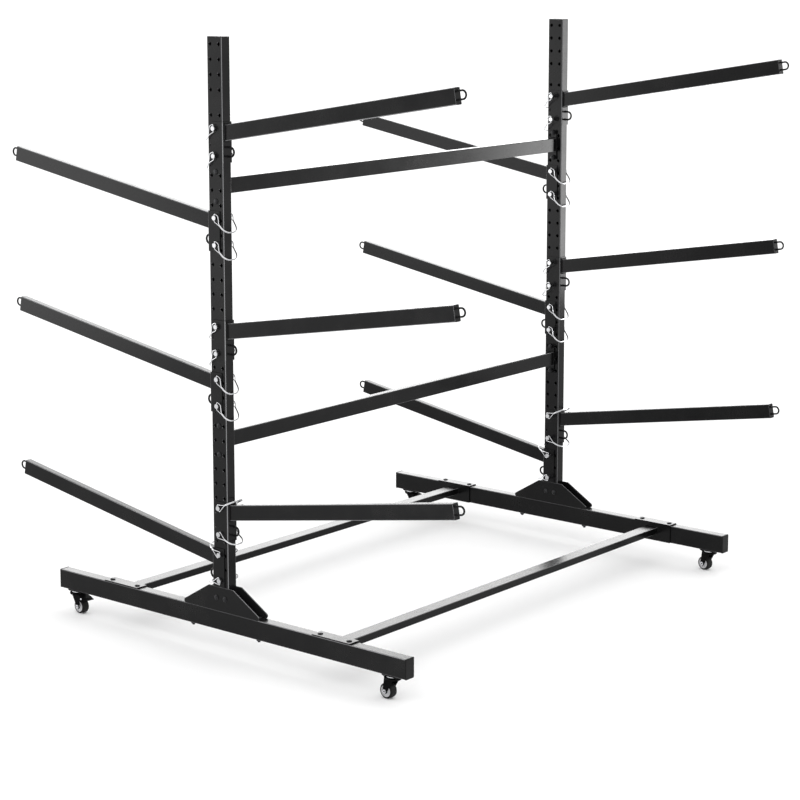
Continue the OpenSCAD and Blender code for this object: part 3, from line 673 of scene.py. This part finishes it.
def dome_head(bm, place, radius, height):
    """A low round head, flat below and domed above."""
    n = 48
    profile = [(0.002, 0.0), (radius * 0.965, 0.0), (radius, 0.0003), (radius, height * 0.22)]
    profile += [(radius * math.cos(math.radians(a)), height * (0.22 + 0.78 * math.sin(math.radians(a)))) for a in (12, 24, 36, 48, 60, 72, 84)]
    rings = [[bm.verts.new(place @ Vector((r * math.cos(2 * math.pi * k / n), r * math.sin(2 * math.pi * k / n), z))) for k in range(n)] for r, z in profile]
    for a, b in zip(rings, rings[1:]):
        for k in range(n):
            q = (k + 1) % n
            bm.faces.new((a[k], a[q], b[q], b[k]))
    bm.faces.new(rings[0][::-1])
    bm.faces.new(rings[-1])


def thread(bm, place, radius, z0, z1, pitch):
    """A threaded shank from z0 down to z1 along place, with a coned end."""
    n, per = 24, 6
    steps = max(8, int(abs(z0 - z1) / pitch * per))
    depth = 0.54 * pitch
    rings = []
    for i in range(steps + 1):
        z = z0 + (z1 - z0) * i / steps
        end = min(1.0, abs(z - z1) / 0.0009)
        row = []
        for k in range(n):
            ph = (abs(z - z0) / pitch - k / n) % 1.0
            cut = abs(2 * ph - 1)
            r = min(radius - depth * cut, radius - 0.0012 * (1 - end))
            a = 2 * math.pi * k / n
            row.append(bm.verts.new(place @ Vector((r * math.cos(a), r * math.sin(a), z))))
        rings.append(row)
    for a, b in zip(rings, rings[1:]):
        for k in range(n):
            q = (k + 1) % n
            bm.faces.new((a[k], a[q], b[q], b[k]))
    bm.faces.new(rings[0][::-1])
    bm.faces.new(rings[-1])


def screw(bm, place, d, length, af, head, pitch):
    """A bolt: hexagon head, or a domed one if af is 0, above place's origin, and a threaded shank below it."""
    turn = Matrix.Rotation(math.radians(rng.uniform(0, 60)), 4, "Z")
    if af:
        hex_block(bm, place @ turn, af, head)
    else:
        dome_head(bm, place, 0.009, head)
    thread(bm, place @ turn, d / 2 - 0.00003, -0.0002, -length, pitch)


def nut(bm, place, d, af, height):
    hex_block(bm, place @ Matrix.Rotation(math.radians(rng.uniform(0, 60)), 4, "Z"), af, height, bore=d / 2 + 0.00002, chamfer_low=True)


def at(x, y, z, way="up"):
    turn = {"up": Matrix.Identity(4), "down": Matrix.Rotation(math.pi, 4, "X"),
            "front": Matrix.Rotation(math.pi / 2, 4, "X"), "rear": Matrix.Rotation(-math.pi / 2, 4, "X")}[way]
    return Matrix.Translation((x, y, z)) @ turn


bm = bmesh.new()
for sy in (-1, 1):
    y = sy * YU
    for sx in (-1, 1):
        for k in (-1, 1):
            screw(bm, at(sx * 0.4728 + k * 0.060, y, BT + 0.0042), 0.010, 0.014, 0, 0.0042, 0.0015)
        screw(bm, at(sx * 0.148, y, BT + 0.00305), 0.010, 0.081, 0, 0.0042, 0.0015)
        nut(bm, at(sx * 0.148, y, 0.0795 - 0.0081), 0.010, 0.016, 0.008)
        screw(bm, at(sx * 0.019, y - 0.0222, BT + 0.044, "front"), 0.010, 0.0583, 0, 0.0042, 0.0015)
        nut(bm, at(sx * 0.019, y + 0.0222, BT + 0.044, "rear"), 0.010, 0.016, 0.008)
        for kx in (-1, 1):
            for ky in (-1, 1):
                screw(bm, at(sx * 0.710 + kx * 0.024, y + ky * 0.013, 0.0795 - 0.00305, "down"), 0.006, 0.012, 0.009, 0.0026, 0.001)
    for z in (BT + 1.391, BT + 0.571):
        for k in (-1, 1):
            out, back = ("front", "rear") if sy < 0 else ("rear", "front")
            screw(bm, at(0, y + sy * 0.01905, z + k * 0.047, out), 0.010, 0.0561, 0, 0.0042, 0.0015)
            nut(bm, at(0, y - sy * (0.019 + 0.00015 + 0.005 + 0.00005), z + k * 0.047, back), 0.010, 0.016, 0.008)
bolts = new_object("bolts_nuts_detailed", bm, bolt_mat, "frame")
bolts.data.set_sharp_from_angle(angle=math.radians(35))
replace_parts(bolts, "bolts_and_nuts")

# ---------------------------------------------------------------- the softboxes light the rack, and the floor keeps its even light
lit = bpy.data.collections.new("lit_by_softboxes")
for o in scene.objects:
    if o.type == "MESH":
        lit.objects.link(o)
painted = bpy.data.collections.new("lit_by_edge_softboxes")
for o in scene.objects:
    if o.type == "MESH" and any(m in (coat, weld_coat) for m in o.data.materials):
        painted.objects.link(o)
for o in boxes + edge_boxes:
    o.light_linking.receiver_collection = painted if o in edge_boxes else lit
    o.visible_camera = False
    o.visible_glossy = o not in edge_boxes

# ---------------------------------------------------------------- floor
bm = bmesh.new()
bmesh.ops.create_grid(bm, x_segments=40, y_segments=40, size=300.0)
me = bpy.data.meshes.new("floor")
bm.to_mesh(me)
bm.free()
floor = bpy.data.objects.new("floor", me)
scene.collection.objects.link(floor)
s = Mat("pale_floor")
s.set("Base Color", s.mix(s.ramp(s.noise(0.6, 3.0, 0.5), 0.3, 0.7), (0.945, 0.945, 0.945), (0.955, 0.955, 0.955)))
s.set("Roughness", s.ramp(s.noise(3.0, 3.0, 0.5), 0.3, 0.7, 0.85, 0.9))
s.set("Specular IOR Level", 0.1)
me.materials.append(s.m)
